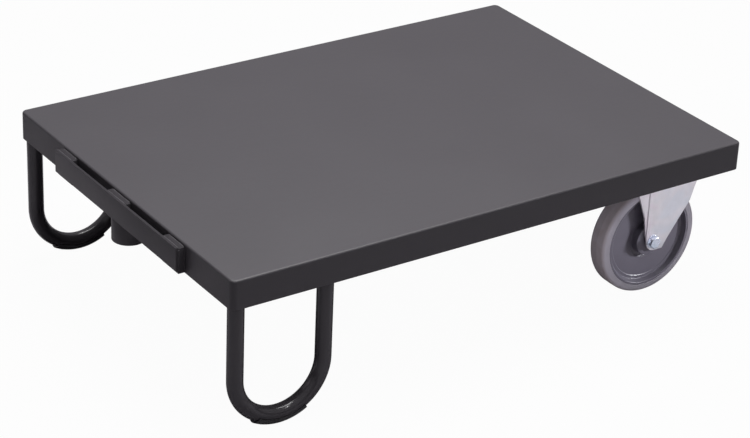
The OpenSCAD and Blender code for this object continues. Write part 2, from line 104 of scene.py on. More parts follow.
world = bpy.data.worlds.new("studio")
world.use_nodes = True
bpy.context.scene.world = world


def add(tree, kind, inputs=(), **settings):
    """A new node in tree. Each value in inputs is a plain value or another node's output."""
    made = tree.nodes.new(kind)
    for name, value in settings.items():
        setattr(made, name, value)
    for key, value in dict(inputs).items():
        if isinstance(value, bpy.types.NodeSocket):
            tree.links.new(value, made.inputs[key])
        else:
            made.inputs[key].default_value = value
    return made


def blank_material(name):
    """A material with an empty node tree, and its output node."""
    material = bpy.data.materials.new(name)
    material.use_nodes = True
    material.node_tree.nodes.clear()
    return material, add(material.node_tree, "ShaderNodeOutputMaterial")


def studio_walls():
    """Walls that are dim as a light, and in reflections pale above a dark band near the floor."""
    tree = world.node_tree
    back = tree.nodes["Background"]
    back.inputs["Color"].default_value = (0.97, 0.95, 1, 1)
    where = add(tree, "ShaderNodeTexCoord")
    parts = add(tree, "ShaderNodeSeparateXYZ", {0: where.outputs["Generated"]})
    band = add(tree, "ShaderNodeMapRange", {
        "Value": parts.outputs["Z"], "From Min": 0.1, "From Max": 0.4,
        "To Min": 0.03, "To Max": 0.54})
    path = add(tree, "ShaderNodeLightPath")
    level = add(tree, "ShaderNodeMapRange", {
        "Value": path.outputs["Is Glossy Ray"], "To Min": 0.11, "To Max": band.outputs[0]})
    tree.links.new(level.outputs[0], back.inputs["Strength"])


studio_walls()


def pale_floor():
    """White to the eye with a trace of shadow, and dimmer as a bounce, so undersides stay dark."""
    material, output = blank_material("pale_floor")
    tree = material.node_tree
    seen = add(tree, "ShaderNodeAddShader")
    glow = add(tree, "ShaderNodeEmission", {"Color": (1, 1, 1, 1), "Strength": 0.968})
    matt = add(tree, "ShaderNodeBsdfDiffuse", {"Color": (0.009, 0.009, 0.009, 1)})
    tree.links.new(glow.outputs[0], seen.inputs[0])
    tree.links.new(matt.outputs[0], seen.inputs[1])
    bounce = add(tree, "ShaderNodeBsdfDiffuse", {"Color": (0.36, 0.345, 0.37, 1)})
    path = add(tree, "ShaderNodeLightPath")
    mix = add(tree, "ShaderNodeMixShader", {0: path.outputs["Is Camera Ray"]})
    tree.links.new(bounce.outputs[0], mix.inputs[1])
    tree.links.new(seen.outputs[0], mix.inputs[2])
    tree.links.new(mix.outputs[0], output.inputs["Surface"])
    return material


FLOOR_HALF = 30
floor_mesh = bpy.data.meshes.new("floor")
floor_mesh.from_pydata(
    [(x * FLOOR_HALF, y * FLOOR_HALF, 0) for x, y in ((-1, -1), (1, -1), (1, 1), (-1, 1))],
    [], [(0, 1, 2, 3)])
floor_mesh.materials.append(pale_floor())
floor = bpy.data.objects.new("floor", floor_mesh)
bpy.context.scene.collection.objects.link(floor)
floor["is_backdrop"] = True

# ---- Deck ----
# One sheet of 3 mm steel with its four sides folded down and its corners welded and dressed. The
# whole platform is powder coated in anthracite, which leaves a fine orange-peel skin.


def shader_group(name, inputs, outputs):
    """An empty shader node group with the named sockets, and its input and output nodes."""
    tree = bpy.data.node_groups.new(name, "ShaderNodeTree")
    for label, kind, value in inputs:
        socket = tree.interface.new_socket(label, in_out="INPUT", socket_type=kind)
        socket.default_value = value
    for label, kind in outputs:
        tree.interface.new_socket(label, in_out="OUTPUT", socket_type=kind)
    return tree, add(tree, "NodeGroupInput"), add(tree, "NodeGroupOutput")


def mottle_group():
    """Cloudy change of a colour over the surface, at one size, by a share of its brightness."""
    tree, given, result = shader_group(
        "mottle",
        [("Colour", "NodeSocketColor", (0.5, 0.5, 0.5, 1)), ("Size", "NodeSocketFloat", 0.1),
         ("Amount", "NodeSocketFloat", 0.1)],
        [("Colour", "NodeSocketColor"), ("Cloud", "NodeSocketFloat")])
    where = add(tree, "ShaderNodeTexCoord")
    scale = add(tree, "ShaderNodeMath", {0: 1.0, 1: given.outputs["Size"]}, operation="DIVIDE")
    cloud = add(tree, "ShaderNodeTexNoise", {
        "Vector": where.outputs["Object"], "Scale": scale.outputs[0],
        "Detail": 4.0, "Roughness": 0.55})
    spread = add(tree, "ShaderNodeMath", {0: cloud.outputs["Fac"], 1: 0.5}, operation="SUBTRACT")
    share = add(tree, "ShaderNodeMath", {
        0: spread.outputs[0], 1: given.outputs["Amount"], 2: 1.0}, operation="MULTIPLY_ADD")
    tinted = add(tree, "ShaderNodeVectorMath", {0: given.outputs["Colour"]}, operation="SCALE")
    tree.links.new(share.outputs[0], tinted.inputs["Scale"])
    tree.links.new(tinted.outputs[0], result.inputs["Colour"])
    tree.links.new(cloud.outputs["Fac"], result.inputs["Cloud"])
    return tree


def skin_group():
    """Height of a fine skin, such as orange peel or moulding grain: two sizes of soft cells."""
    tree, given, result = shader_group(
        "skin",
        [("Size", "NodeSocketFloat", 0.002), ("Depth", "NodeSocketFloat", 1.0)],
        [("Height", "NodeSocketFloat")])
    where = add(tree, "ShaderNodeTexCoord")
    scale = add(tree, "ShaderNodeMath", {0: 1.0, 1: given.outputs["Size"]}, operation="DIVIDE")
    cells = add(tree, "ShaderNodeTexNoise", {
        "Vector": where.outputs["Object"], "Scale": scale.outputs[0],
        "Detail": 2.0, "Roughness": 0.45})
    wide = add(tree, "ShaderNodeMath", {0: scale.outputs[0], 1: 0.12}, operation="MULTIPLY")
    waves = add(tree, "ShaderNodeTexNoise", {
        "Vector": where.outputs["Object"], "Scale": wide.outputs[0], "Detail": 1.0})
    both = add(tree, "ShaderNodeMath", {
        0: waves.outputs["Fac"], 1: 1.6, 2: cells.outputs["Fac"]}, operation="MULTIPLY_ADD")
    deep = add(tree, "ShaderNodeMath", {
        0: both.outputs[0], 1: given.outputs["Depth"]}, operation="MULTIPLY")
    tree.links.new(deep.outputs[0], result.inputs["Height"])
    return tree


def edge_highlight_and_wear_group():
    """Mask of outer edges for a painted highlight and a trace of wear, broken up so it isn't a
    line.
    """
    tree, given, result = shader_group(
        "rubbed_edge",
        [("Reach", "NodeSocketFloat", 0.001), ("Amount", "NodeSocketFloat", 0.5)],
        [("Mask", "NodeSocketFloat")])
    where = add(tree, "ShaderNodeTexCoord")
    true = add(tree, "ShaderNodeNewGeometry")
    soft = add(tree, "ShaderNodeBevel", {"Radius": given.outputs["Reach"]}, samples=4)
    same = add(tree, "ShaderNodeVectorMath", {
        0: soft.outputs[0], 1: true.outputs["Normal"]}, operation="DOT_PRODUCT")
    edge = add(tree, "ShaderNodeMapRange", {
        "Value": same.outputs["Value"], "From Min": 0.995, "From Max": 0.93})
    patch = add(tree, "ShaderNodeTexNoise", {
        "Vector": where.outputs["Object"], "Scale": 45.0, "Detail": 5.0, "Roughness": 0.65})
    patch_mask = add(tree, "ShaderNodeMapRange", {
        "Value": patch.outputs["Fac"], "From Min": 0.42, "From Max": 0.68})
    both = add(tree, "ShaderNodeMath", {
        0: edge.outputs[0], 1: patch_mask.outputs[0]}, operation="MULTIPLY")
    final = add(tree, "ShaderNodeMath", {
        0: both.outputs[0], 1: given.outputs["Amount"]}, operation="MULTIPLY")
    tree.links.new(final.outputs[0], result.inputs["Mask"])
    return tree


MOTTLE = mottle_group()
SKIN = skin_group()
EDGE_HIGHLIGHT_AND_WEAR = edge_highlight_and_wear_group()


def put(tree, group, **inputs):
    """Places a shader group in a material with its own values."""
    made = add(tree, "ShaderNodeGroup", node_tree=group)
    for label, value in inputs.items():
        if isinstance(value, bpy.types.NodeSocket):
            tree.links.new(value, made.inputs[label])
        else:
            made.inputs[label].default_value = value
    return made


def powder_coat(name, rough_mean=0.47, peel=0.22, highlight_and_wear=0.08, top_darkening=0.0):
    """Anthracite powder coat with orange peel and faint clouds; edges get a painted highlight and
    some wear.

    Upward faces are made darker and rougher by the share that the last argument gives.
    """
    material, output = blank_material(name)
    tree = material.node_tree
    clouds = put(tree, MOTTLE, Colour=(0.0445, 0.0410, 0.0462, 1), Size=0.16, Amount=0.08)
    flecks = put(tree, MOTTLE, Colour=clouds.outputs["Colour"], Size=0.0012, Amount=0.26)
    edge_highlight_and_wear_mask = put(tree, EDGE_HIGHLIGHT_AND_WEAR, Reach=0.0012, Amount=highlight_and_wear)
    # Edges turn a paler grey: a painted edge highlight, with a trace of rubbed wear.
    colour = add(tree, "ShaderNodeMix", {
        0: edge_highlight_and_wear_mask.outputs["Mask"], 6: flecks.outputs["Colour"], 7: (0.115, 0.108, 0.118, 1)},
        data_type="RGBA").outputs[2]
    rough = add(tree, "ShaderNodeMapRange", {
        "Value": clouds.outputs["Cloud"], "From Min": 0.3, "From Max": 0.7,
        "To Min": rough_mean - 0.03, "To Max": rough_mean + 0.03}).outputs[0]
    # Upward faces get a darker colour and a higher roughness.
    if top_darkening:
        faces = add(tree, "ShaderNodeNewGeometry")
        parts = add(tree, "ShaderNodeSeparateXYZ", {0: faces.outputs["Normal"]})
        upward = add(tree, "ShaderNodeMapRange", {
            "Value": parts.outputs["Z"], "From Min": 0.6, "From Max": 0.95, "To Max": top_darkening})
        dark_top_colour = put(tree, MOTTLE, Colour=(0.0075, 0.0055, 0.0085, 1), Size=0.006, Amount=2.2)
        colour = add(tree, "ShaderNodeMix", {
            0: upward.outputs[0], 6: colour, 7: dark_top_colour.outputs["Colour"]},
            data_type="RGBA").outputs[2]
        rough = add(tree, "ShaderNodeMapRange", {
            "Value": upward.outputs[0], "From Max": top_darkening, "To Min": rough, "To Max": 0.8}).outputs[0]
    skin = put(tree, SKIN, Size=0.0016, Depth=1.0)
    bump = add(tree, "ShaderNodeBump", {
        "Height": skin.outputs["Height"], "Strength": peel, "Distance": 0.0004})
    surface = add(tree, "ShaderNodeBsdfPrincipled", {
        "Base Color": colour, "Roughness": rough,
        "Normal": bump.outputs[0], "Specular IOR Level": 0.34})
    tree.links.new(surface.outputs[0], output.inputs["Surface"])
    return material


def finish_mesh(mesh, angle=35):
    """Smooth shading that still breaks at sharp edges."""
    mesh.shade_smooth()
    mesh.set_sharp_from_angle(angle=math.radians(angle))


def place_piece(name, mesh, material, body, slot):
    """Makes mesh a finished piece that rides on body."""
    if not mesh.materials:
        mesh.materials.append(material)
    piece = bpy.data.objects.new(name, mesh)
    bpy.context.scene.collection.objects.link(piece)
    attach(piece, body)
    return piece


def merged_copy(node):
    """A welded copy of a CAD node's mesh, with its flat faces in one piece each."""
    shape = bmesh.new()
    shape.from_mesh(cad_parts[node].data)
    bmesh.ops.remove_doubles(shape, verts=shape.verts, dist=1e-6)
    bmesh.ops.dissolve_limit(
        shape, angle_limit=math.radians(0.4), verts=shape.verts, edges=shape.edges)
    return shape


def eased(shape, name, ease, min_angle=30, weigh=None, segments=3):
    """The mesh of shape with its sharp edges rounded by a bevel of width ease."""
    mesh = bpy.data.meshes.new(name)
    if weigh:
        layer = shape.edges.layers.float.new("bevel_weight_edge")
        for edge in shape.edges:
            edge[layer] = weigh(edge)
    shape.to_mesh(mesh)
    shape.free()
    holder = bpy.data.objects.new(name + "_holder", mesh)
    bpy.context.scene.collection.objects.link(holder)
    bevel = holder.modifiers.new("ease", "BEVEL")
    bevel.width = ease
    bevel.segments = segments
    bevel.limit_method = "WEIGHT" if weigh else "ANGLE"
    bevel.angle_limit = math.radians(min_angle)
    bevel.miter_outer = "MITER_ARC"
    seen = holder.evaluated_get(bpy.context.evaluated_depsgraph_get())
    result = bpy.data.meshes.new_from_object(seen)
    result.name = name
    bpy.data.objects.remove(holder)
    finish_mesh(result)
    return result


def dressed(node, material, body, slot, ease=0.0006):
    """A piece with the CAD node's own shape and slightly rounded edges, in place of that node."""
    mesh = eased(merged_copy(node), node + "_dressed", ease)
    piece = place_piece(node + "_dressed", mesh, material, body, slot)
    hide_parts(node)
    return piece


coat = powder_coat("powder_coat")
deck_mesh = bpy.data.meshes.new("deck_sheet")
deck_shape = merged_copy("deck")
deck_shape.to_mesh(deck_mesh)
deck_shape.free()
finish_mesh(deck_mesh, 28)
deck_sheet = place_piece("deck_sheet", deck_mesh, coat, "chassis", "powder_coat")
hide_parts("deck")

# ---- Under-frame ----
# Three cross channels and two lengthwise ones, pressed from 3 mm sheet, are welded open side up to
# the underside of the deck. The two at the rear carry the castors.
UNDER_FRAME = ("front_channel", "castor_channel_front", "castor_channel_rear",
               "left_rail", "right_rail")
for channel in UNDER_FRAME:
    dressed(channel, coat, "chassis", "powder_coat", ease=0.0004)

# ---- Foot bows ----
# Each bow is one length of 26.9 mm tube, bent round a 160 mm former into a U. Its two legs stand
# inside the deck's folded sides and are welded to the underside of the deck.


def geometry_tree(name, inputs):
    """An empty geometry node tree with named inputs, and its input and output nodes."""
    tree = bpy.data.node_groups.new(name, "GeometryNodeTree")
    tree.interface.new_socket("Geometry", in_out="INPUT", socket_type="NodeSocketGeometry")
    for label, kind, value in inputs:
        socket = tree.interface.new_socket(label, in_out="INPUT", socket_type=kind)
        if value is not None:
            socket.default_value = value
    tree.interface.new_socket("Geometry", in_out="OUTPUT", socket_type="NodeSocketGeometry")
    return tree, add(tree, "NodeGroupInput"), add(tree, "NodeGroupOutput")


def grown(name, base, tree, **values):
    """The mesh that a geometry tree makes from the mesh base with these input values."""
    holder = bpy.data.objects.new(name + "_holder", base)
    modifier = holder.modifiers.new(tree.name, "NODES")
    modifier.node_group = tree
    for item in tree.interface.items_tree:
        if item.item_type == "SOCKET" and item.in_out == "INPUT" and item.name in values:
            modifier[item.identifier] = values[item.name]
    bpy.context.scene.collection.objects.link(holder)
    seen = holder.evaluated_get(bpy.context.evaluated_depsgraph_get())
    result = bpy.data.meshes.new_from_object(seen)
    result.name = name
    holder.modifiers.clear()
    bpy.data.objects.remove(holder)
    return result


def bent_tube_tree():
    """Sweeps a hollow tube along the input's edges, with every corner bent to one radius."""
    tree, given, result = geometry_tree("bent_tube", [
        ("Bend Radius", "NodeSocketFloat", 0.08), ("Outside Radius", "NodeSocketFloat", 0.013),
        ("Wall", "NodeSocketFloat", 0.0026), ("Steps", "NodeSocketInt", 40),
        ("Sides", "NodeSocketInt", 48), ("Material", "NodeSocketMaterial", None)])
    path = add(tree, "GeometryNodeMeshToCurve", {"Mesh": given.outputs["Geometry"]})
    bent = add(tree, "GeometryNodeFilletCurve", {
        "Curve": path.outputs[0], "Radius": given.outputs["Bend Radius"],
        "Limit Radius": True})
    if "Mode" in bent.inputs:
        bent.inputs["Mode"].default_value = "Poly"
    else:
        bent.mode = "POLY"
    tree.links.new(given.outputs["Steps"], bent.inputs["Count"])
    inner = add(tree, "ShaderNodeMath", {
        0: given.outputs["Outside Radius"], 1: given.outputs["Wall"]}, operation="SUBTRACT")
    walls = add(tree, "GeometryNodeJoinGeometry")
    for radius, flip in ((given.outputs["Outside Radius"], False), (inner.outputs[0], True)):
        section = add(tree, "GeometryNodeCurvePrimitiveCircle", {
            "Resolution": given.outputs["Sides"], "Radius": radius})
        wall = add(tree, "GeometryNodeCurveToMesh", {
            "Curve": bent.outputs[0], "Profile Curve": section.outputs[0]})
        shown = wall.outputs[0]
        if flip:
            shown = add(tree, "GeometryNodeFlipFaces", {"Mesh": shown}).outputs[0]
        tree.links.new(shown, walls.inputs[0])
    coated = add(tree, "GeometryNodeSetMaterial", {
        "Geometry": walls.outputs[0], "Material": given.outputs["Material"]})
    solid = add(tree, "GeometryNodeRealizeInstances", {"Geometry": coated.outputs[0]})
    tree.links.new(solid.outputs[0], result.inputs[0])
    return tree


def close_tube_ends(mesh):
    """Joins the outer and inner wall with a ring at each open end."""
    shape = bmesh.new()
    shape.from_mesh(mesh)
    rims = [edge for edge in shape.edges if edge.is_boundary]
    middle = sum((edge.verts[0].co.x for edge in rims), 0) / len(rims)
    for ahead in (True, False):
        end = [edge for edge in rims if (edge.verts[0].co.x > middle) == ahead]
        bmesh.ops.bridge_loops(shape, edges=end)
    bmesh.ops.recalc_face_normals(shape, faces=shape.faces)
    shape.to_mesh(mesh)
    shape.free()


TUBE_WALL = 0.0026
BEND_SLACK = 1e-5
BENT_TUBE = bent_tube_tree()
tube_coat = powder_coat("tube_coat", rough_mean=0.18, peel=0.07)
for side in ("left", "right"):
    bow_low, bow_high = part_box(side + "_bow")
    tube_radius = (bow_high.y - bow_low.y) / 2
    bow_y = (bow_high.y + bow_low.y) / 2
    leg_x = (bow_low.x + tube_radius, bow_high.x - tube_radius)
    bottom = bow_low.z + tube_radius
    route = bpy.data.meshes.new(side + "_bow_route")
    route.from_pydata(
        [(leg_x[0], bow_y, bow_high.z), (leg_x[0], bow_y, bottom),
         (leg_x[1], bow_y, bottom), (leg_x[1], bow_y, bow_high.z)],
        [(0, 1), (1, 2), (2, 3)], [])
    tube = grown(side + "_bow_tube", route, BENT_TUBE, **{
        "Bend Radius": (leg_x[1] - leg_x[0]) / 2 - BEND_SLACK, "Outside Radius": tube_radius,
        "Wall": TUBE_WALL, "Steps": 40, "Sides": 48, "Material": tube_coat})
    close_tube_ends(tube)
    finish_mesh(tube)
    bow_tube = place_piece(side + "_bow_tube", tube, tube_coat, "chassis", "powder_coat")
    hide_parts(side + "_bow")

# ---- Glides ----
# A moulded plastic shoe cups the lowest part of each bow and takes the wear on the floor. Two blind
# rivets with sunk heads hold it to the tube.


def moulded_plastic(name, colour, rough, grain, fade=0.12):
    """Moulded plastic with a fine grain and a faint change of shade."""
    material, output = blank_material(name)
    tree = material.node_tree
    clouds = put(tree, MOTTLE, Colour=colour, Size=0.03, Amount=fade)
    skin = put(tree, SKIN, Size=grain, Depth=1.0)
    bump = add(tree, "ShaderNodeBump", {
        "Height": skin.outputs["Height"], "Strength": 0.18, "Distance": 0.0003})
    surface = add(tree, "ShaderNodeBsdfPrincipled", {
        "Base Color": clouds.outputs["Colour"], "Roughness": rough, "Normal": bump.outputs[0]})
    tree.links.new(surface.outputs[0], output.inputs["Surface"])
    return material


def plated_steel(name, colour, rough, metal, tint=0.5):
    """Zinc-plated steel: pale, with passes of faint pink and blue, and fine scuffs."""
    material, output = blank_material(name)
    tree = material.node_tree
    where = add(tree, "ShaderNodeTexCoord")
    clouds = put(tree, MOTTLE, Colour=colour, Size=0.012, Amount=0.16)
    bands = add(tree, "ShaderNodeTexNoise", {
        "Vector": where.outputs["Object"], "Scale": 16.0, "Detail": 2.0, "Distortion": 0.6})
    hue = add(tree, "ShaderNodeValToRGB", {0: bands.outputs["Fac"]})
    stops = hue.color_ramp.elements
    stops[0].position, stops[0].color = 0.36, (0.86, 0.95, 1, 1)
    stops[1].position, stops[1].color = 0.64, (1, 0.9, 0.96, 1)
    middle = stops.new(0.5)
    middle.color = (1, 1, 1, 1)
    shade = add(tree, "ShaderNodeMix", {
        0: tint, 6: clouds.outputs["Colour"], 7: hue.outputs[0]},
        data_type="RGBA", blend_type="MULTIPLY")
    scuffs = add(tree, "ShaderNodeTexNoise", {
        "Vector": where.outputs["Object"], "Scale": 240.0, "Detail": 3.0, "Roughness": 0.7})
    dull = add(tree, "ShaderNodeMapRange", {
        "Value": scuffs.outputs["Fac"], "From Min": 0.35, "From Max": 0.7,
        "To Min": rough, "To Max": rough + 0.14})
    bump = add(tree, "ShaderNodeBump", {
        "Height": scuffs.outputs["Fac"], "Strength": 0.08, "Distance": 0.0002})
    surface = add(tree, "ShaderNodeBsdfPrincipled", {
        "Base Color": shade.outputs[2], "Metallic": metal, "Roughness": dull.outputs[0],
        "Normal": bump.outputs[0]})
    tree.links.new(surface.outputs[0], output.inputs["Surface"])
    return material


shoe_plastic = moulded_plastic("shoe_plastic", (0.026, 0.025, 0.028, 1), 0.42, 0.0009)
fastener_zinc = plated_steel("fastener_zinc", (0.72, 0.79, 0.88, 1), 0.24, 0.9)
for side in ("left", "right"):
    dressed(side + "_glide", shoe_plastic, "chassis", "glide_plastic", ease=0.0007)
    dressed(side + "_glide_rivets", fastener_zinc, "chassis", "zinc_fastener", ease=0.0003)

# ---- Drawbar coupling ----
# A flat bar stands off the deck's end on three blocks, which leaves two slots behind it. Below it a
# stub of thick tube takes a pin from below. Bar, blocks, stub, plate and gussets are cut from stock
# and welded, then coated with the deck.
COUPLING_BLOCKS = ("left_spacer", "middle_spacer", "right_spacer")
cut_coat = powder_coat("cut_coat", highlight_and_wear=0.0, top_darkening=0.9)
for part in ("coupling_bar", *COUPLING_BLOCKS):
    dressed(part, cut_coat, "chassis", "powder_coat", ease=0.0007)
dressed("pin_socket", coat, "chassis", "powder_coat", ease=0.0006)
for part in ("socket_plate", "socket_gussets"):
    dressed(part, coat, "chassis", "powder_coat", ease=0.0005)

# ---- Weld beads ----
# Beads join the bar's blocks, the socket, the bows' legs and the channels to the deck. Each is a
# row of overlapping puddles, a little uneven, under the same powder coat.


def weld_bead_tree():
    """Lays a rippled, slightly uneven bead along the input's edges."""
    tree, given, result = geometry_tree("weld_bead", [
        ("Radius", "NodeSocketFloat", 0.002), ("Pitch", "NodeSocketFloat", 0.003),
        ("Ripple", "NodeSocketFloat", 0.13), ("Uneven", "NodeSocketFloat", 0.5),
        ("Material", "NodeSocketMaterial", None)])
    path = add(tree, "GeometryNodeMeshToCurve", {"Mesh": given.outputs["Geometry"]})
    step = add(tree, "ShaderNodeMath", {
        0: given.outputs["Pitch"], 1: 0.2}, operation="MULTIPLY")
    even = add(tree, "GeometryNodeResampleCurve", {
        "Curve": path.outputs[0], "Length": step.outputs[0]}, mode="LENGTH")
    along = add(tree, "GeometryNodeSplineParameter")
    count = add(tree, "ShaderNodeMath", {
        0: along.outputs["Length"], 1: given.outputs["Pitch"]}, operation="DIVIDE")
    turn = add(tree, "ShaderNodeMath", {0: count.outputs[0], 1: math.tau}, operation="MULTIPLY")
    wave = add(tree, "ShaderNodeMath", {0: turn.outputs[0]}, operation="SINE")
    ripple = add(tree, "ShaderNodeMath", {
        0: wave.outputs[0], 1: given.outputs["Ripple"], 2: 1.0}, operation="MULTIPLY_ADD")
    place = add(tree, "GeometryNodeInputPosition")
    lumps = add(tree, "ShaderNodeTexNoise", {
        "Vector": place.outputs[0], "Scale": 160.0, "Detail": 1.0})
    lump = add(tree, "ShaderNodeMath", {0: lumps.outputs["Fac"], 1: 0.5}, operation="SUBTRACT")
    swell = add(tree, "ShaderNodeMath", {
        0: lump.outputs[0], 1: given.outputs["Uneven"], 2: ripple.outputs[0]},
        operation="MULTIPLY_ADD")
    section = add(tree, "GeometryNodeCurvePrimitiveCircle", {
        "Resolution": 12, "Radius": given.outputs["Radius"]})
    bead = add(tree, "GeometryNodeCurveToMesh", {
        "Curve": even.outputs[0], "Profile Curve": section.outputs[0],
        "Scale": swell.outputs[0], "Fill Caps": True})
    coated = add(tree, "GeometryNodeSetMaterial", {
        "Geometry": bead.outputs[0], "Material": given.outputs["Material"]})
    solid = add(tree, "GeometryNodeRealizeInstances", {"Geometry": coated.outputs[0]})
    tree.links.new(solid.outputs[0], result.inputs[0])
    return tree


WELD_BEAD = weld_bead_tree()


def weld(name, lines, radius):
    """One piece with a bead along each line, which is a list of points."""
    points, edges = [], []
    for line in lines:
        first = len(points)
        points.extend(line)
        edges.extend((first + i, first + i + 1) for i in range(len(line) - 1))
    base = bpy.data.meshes.new(name + "_route")
    base.from_pydata(points, edges, [])
    bead = grown(name, base, WELD_BEAD, Radius=radius, Pitch=radius * 1.5, Ripple=0.13,
                 Uneven=0.5, Material=coat)
    finish_mesh(bead, 60)
    place_piece(name, bead, coat, "chassis", "powder_coat")


def round_line(x, y, z, radius, start=0, sweep=360, steps=48):
    """Points on a level arc about (x, y) at height z."""
    angles = (math.radians(start + sweep * i / steps) for i in range(steps + 1))
    return [(x + radius * math.cos(a), y + radius * math.sin(a), z) for a in angles]


deck_low, deck_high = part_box("deck")
under_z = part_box("front_channel")[1].z
bar_low, bar_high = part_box("coupling_bar")
END_KEEP = 0.003
GUSSET_INSET = 0.005
coupling_lines = []
for part in COUPLING_BLOCKS:
    low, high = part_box(part)
    for x in (low.x + 0.0006, high.x - 0.0006):
        coupling_lines.append([
            (x, low.y + END_KEEP, high.z - 0.0008), (x, high.y - END_KEEP, high.z - 0.0008)])
        for y, outer in ((low.y, bar_low.y), (high.y, bar_high.y)):
            if abs(y - outer) < END_KEEP:
                coupling_lines.append([(x, y, low.z + END_KEEP), (x, y, high.z - END_KEEP)])
weld("coupling_welds", coupling_lines, 0.0015)

socket_low, socket_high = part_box("pin_socket")
socket_mid = (socket_low + socket_high) / 2
socket_radius = (socket_high.y - socket_low.y) / 2
plate_low, plate_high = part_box("socket_plate")
gusset_low, gusset_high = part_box("socket_gussets")
socket_lines = [round_line(socket_mid.x, socket_mid.y, deck_low.z - 0.0005,
                           socket_radius + 0.0002, start=-88, sweep=176)]
for y in (gusset_low.y + GUSSET_INSET, gusset_high.y - GUSSET_INSET):
    socket_lines.append([
        (plate_low.x + END_KEEP, y, plate_high.z), (plate_high.x - END_KEEP, y, plate_high.z)])
weld("socket_welds", socket_lines, 0.0021)

leg_lines = []
for side in ("left", "right"):
    low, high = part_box(side + "_bow")
    radius = (high.y - low.y) / 2
    for x in (low.x + radius, high.x - radius):
        leg_lines.append(round_line(x, (low.y + high.y) / 2, under_z - 0.0008, radius + 0.0004))
weld("bow_welds", leg_lines, 0.0024)

STITCH = 0.035
STITCH_GAP = 0.13
STITCH_SPREAD = 0.94
stitch_lines = []
for channel in UNDER_FRAME:
    low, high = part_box(channel)
    lengthwise = high.x - low.x > high.y - low.y
    reach = (high.x - low.x if lengthwise else high.y - low.y) - 2 * STITCH
    count = max(2, round(reach / STITCH_GAP))
    for i in range(count):
        middle = (i / (count - 1) - 0.5) * reach * STITCH_SPREAD
        for edge in (-1, 1):
            if lengthwise:
                x = (low.x + high.x) / 2 + middle
                y = low.y - 0.0004 if edge < 0 else high.y + 0.0004
                ends = [(x - STITCH / 2, y), (x + STITCH / 2, y)]
            else:
                y = (low.y + high.y) / 2 + middle
                x = low.x - 0.0004 if edge < 0 else high.x + 0.0004
                ends = [(x, y - STITCH / 2), (x, y + STITCH / 2)]
            stitch_lines.append([(*end, under_z - 0.0007) for end in ends])
weld("channel_welds", stitch_lines, 0.002)

# ---- Castor plate and fork ----
# Each fork is one pressing of 3.5 mm steel with both legs folded down from the web. Four rivets
# hold it to the castor plate. Fork and plate are zinc plated and passivated.
FORK_EASE = 0.005
SHEET = 0.0035
NEAR = 1e-4
FOLD_OUTSIDE, FOLD_INSIDE, LEG_EDGE, TRIM, TRIM_ABOVE = 1.0, 0.28, 0.26, 0.08, 0.07


def fork_weigher(node):
    """Share of FORK_EASE for each edge: wide at the folds, slight where the sheet was trimmed."""
    low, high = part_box(node)

    def weigh(edge):
        if len(edge.link_faces) != 2 or edge.calc_face_angle(0) < math.radians(20):
            return 0.0
        sides = [face.normal for face in edge.link_faces]
        line = (edge.verts[1].co - edge.verts[0].co).normalized()
        top = max(vert.co.z for vert in edge.verts)
        bottom = min(vert.co.z for vert in edge.verts)
        y = edge.verts[0].co.y
        if abs(line.x) > 0.9 and bottom > high.z - SHEET - NEAR:
            if abs(y - low.y) < NEAR or abs(y - high.y) < NEAR:
                return FOLD_OUTSIDE
            return FOLD_INSIDE if top < high.z - SHEET + NEAR else TRIM_ABOVE
        if all(abs(side.y) > 0.5 for side in sides):
            return LEG_EDGE
        return TRIM

    return weigh


fork_zinc = plated_steel("fork_zinc", (0.88, 0.865, 0.90, 1), 0.40, 0.60)
for side in ("left", "right"):
    fork_name = side + "_fork"
    fork_mesh = eased(merged_copy(fork_name), fork_name + "_pressing", FORK_EASE,
                      weigh=fork_weigher(fork_name))
    fork = place_piece(fork_name + "_pressing", fork_mesh, fork_zinc, "chassis", "zinc_fork")
    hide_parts(fork_name)
    dressed(side + "_castor_plate", fork_zinc, "chassis", "zinc_fork", ease=0.0006)
    dressed(side + "_fork_rivets", fork_zinc, "chassis", "zinc_fork", ease=0.0005)

# ---- Castor bolts ----
# Four M10 hexagon bolts pass up through each castor plate and the channels' webs into nuts that are
# welded inside the channels. Each head has the usual turned chamfer and bears on a plain washer.
CHAMFER_SHARE = 0.94
CHAMFER_FALL = math.tan(math.radians(28))
HEX_STEPS = 96


def hex_rings(across, height):
    """Rings of points, from the bearing face up, of a hexagon head with a turned chamfer."""
    flat = across / 2
    crown = flat * CHAMFER_SHARE
    foot, brow, top = [], [], []
    for i in range(HEX_STEPS):
        angle = math.tau * i / HEX_STEPS
        inside = (angle % (math.pi / 3)) - math.pi / 6
        reach = flat / math.cos(inside)
        direction = Vector((math.cos(angle), math.sin(angle), 0))
        foot.append(direction * reach)
        brow.append(direction * reach + Vector((0, 0, height - (reach - crown) * CHAMFER_FALL)))
        top.append(direction * crown + Vector((0, 0, height)))
    return [foot, brow, top]


def round_ring(radius, z, steps=40):
    """A level ring of points at height z."""
    angles = (math.tau * i / steps for i in range(steps))
    return [Vector((radius * math.cos(a), radius * math.sin(a), z)) for a in angles]


def turned_over(rings):
    """The rings with up and down exchanged."""
    return [[Vector((p.x, p.y, -p.z)) for p in ring] for ring in rings]


def thread_rings(radius, pitch, start, length, steps=40, lines=10):
    """Rings of points of a thread along Z from start, with a tapered last turn."""
    rings = []
    total = int(length / pitch * lines)
    for j in range(total + 1):
        z = start + length * j / total
        fade = min(1, (total - j) / lines)
        ring = []
        for i in range(steps):
            angle = math.tau * i / steps
            phase = (z / pitch - i / steps) % 1
            depth = (1 - abs(2 * phase - 1)) * pitch * 0.5 * fade + pitch * 0.35 * (1 - fade)
            ring.append(Vector((math.cos(angle), math.sin(angle), 0)) * (radius - depth)
                        + Vector((0, 0, z)))
        rings.append(ring)
    return rings


